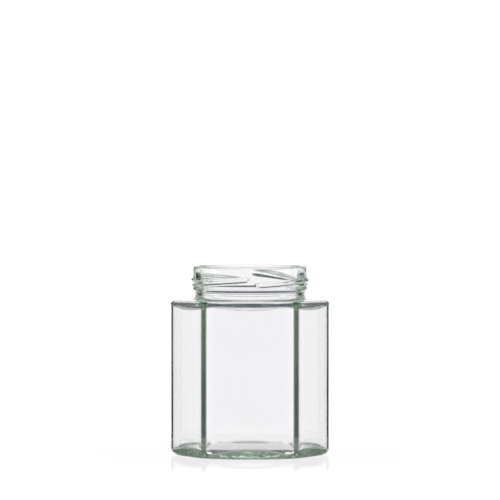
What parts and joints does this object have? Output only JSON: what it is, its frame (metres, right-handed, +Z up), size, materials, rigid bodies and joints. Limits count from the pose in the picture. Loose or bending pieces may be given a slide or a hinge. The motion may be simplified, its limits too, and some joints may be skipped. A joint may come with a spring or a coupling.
{
  "type": "hexagonal jar",
  "caption": "Empty clear glass jar with a hexagonal body, flat sides, rounded upright edges, a pushed-up base and a round neck with a twist-off thread.",
  "frame": {"origin": "centre of the base, on the plane that the jar stands on", "axes": "+Z up through the mouth, X through two opposite upright edges, -Y out of the middle of the side that the picture shows in front"},
  "size_m": [0.0824, 0.0756, 0.0981],
  "materials": {
    "glass": "clear polished glass with a faint green tint, greenest where the glass is thick"
  },
  "bodies": {
    "root": {"jar": "glass"}
  },
  "joints": []
}
